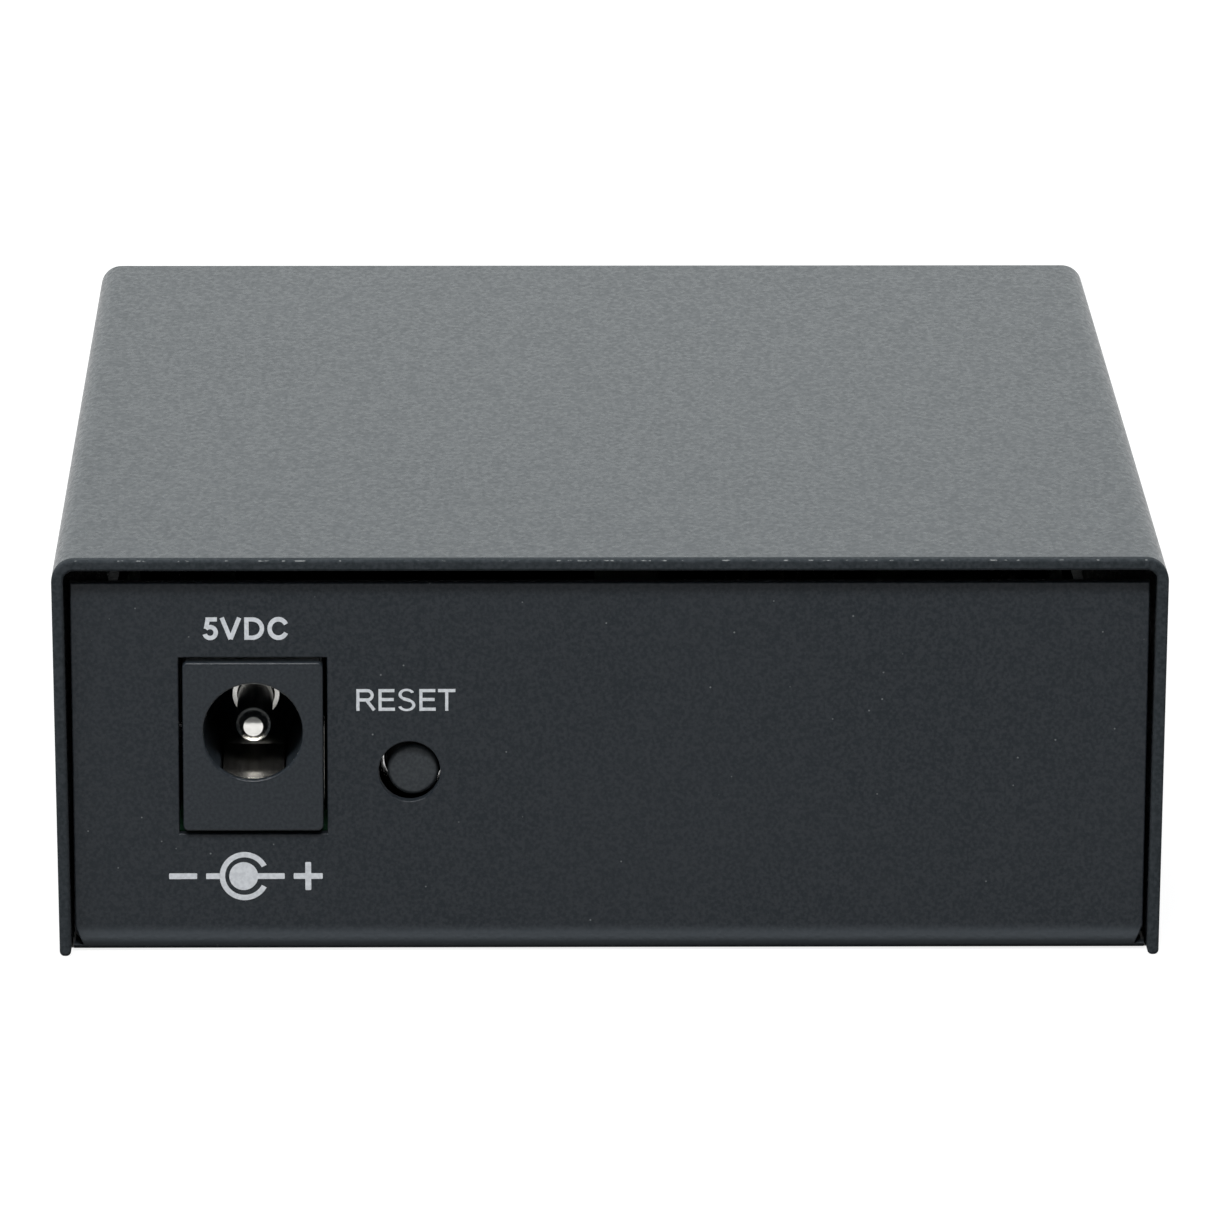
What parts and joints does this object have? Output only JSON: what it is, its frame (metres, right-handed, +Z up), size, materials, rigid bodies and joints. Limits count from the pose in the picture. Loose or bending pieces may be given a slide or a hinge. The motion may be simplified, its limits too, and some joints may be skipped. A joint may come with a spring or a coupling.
{
  "type": "fibre media converter",
  "caption": "Small folded-steel box with a power jack and a recessed reset button behind, and a copper port, a duplex fibre port and status lamps in front.",
  "frame": {"origin": "centre of the outline on the surface the box stands on", "axes": "+X right seen from the rear panel, +Y from the rear panel (power jack, reset) to the front panel (copper port, fibre port, lamps), +Z up"},
  "size_m": [0.073, 0.094, 0.0268],
  "materials": {
    "cover_paint": "dark grey powder coat, fine grain",
    "tray_paint": "dark grey powder coat, fine grain",
    "black_screw": "black oxide steel",
    "steel": "zinc-plated steel",
    "board": "green solder mask over glass laminate",
    "black_moulding": "black moulded thermoplastic",
    "tin": "tin-plated brass",
    "spring_metal": "plated spring bronze",
    "button_moulding": "matte black moulded thermoplastic",
    "shield_metal": "nickel-plated brass sheet",
    "gold": "gold-plated phosphor bronze",
    "sleeve_metal": "turned stainless steel",
    "clip_moulding": "natural moulded thermoplastic",
    "lamp_lens": "diffused clear epoxy",
    "chip_moulding": "black moulding compound",
    "ferrite": "grey ferrite",
    "capacitor_can": "bare aluminium can",
    "fuse_body": "green polymer laminate",
    "ceramic": "tan ceramic",
    "resistor": "dark glazed ceramic"
  },
  "bodies": {
    "converter": {"top_cover": "cover_paint", "base_tray": "tray_paint", "cover_screws": "black_screw", "board_standoffs": "steel", "board_screws": "steel", "circuit_board": "board", "power_jack_housing": "black_moulding", "power_jack_centre_pin": "tin", "power_jack_sleeve_spring": "spring_metal", "power_jack_switch_contact": "tin", "reset_switch_body": "black_moulding", "reset_switch_dome": "steel", "reset_switch_bracket": "steel", "reset_switch_pins": "tin", "copper_port_shield": "shield_metal", "copper_port_insert": "black_moulding", "copper_port_contacts": "gold", "copper_port_pins": "tin", "fibre_port_housing": "black_moulding", "fibre_port_sleeves": "sleeve_metal", "fibre_port_clips": "clip_moulding", "optical_module_case": "black_moulding", "optical_module_lid": "shield_metal", "optical_module_pins": "tin", "lamp_holder": "black_moulding", "status_lamps": "lamp_lens", "lamp_leads": "tin", "line_transformer": "chip_moulding", "line_transformer_leads": "tin", "converter_chip": "chip_moulding", "converter_chip_leads": "tin", "memory_chip": "chip_moulding", "memory_chip_leads": "tin", "crystal_can": "shield_metal", "voltage_regulator": "chip_moulding", "voltage_regulator_leads": "tin", "power_inductor": "ferrite", "electrolytic_capacitors": "capacitor_can", "power_diode": "chip_moulding", "input_fuse": "fuse_body", "ceramic_capacitors": "ceramic", "chip_resistors": "resistor"},
    "reset_plunger": {"reset_button": "button_moulding"}
  },
  "joints": [
    {"name": "reset_press", "type": "slide", "parent": "converter", "child": "reset_plunger", "axis": [0, 1, 0], "range_m": [0, 0.00025], "stiffness_N_per_m": 4000}
  ]
}
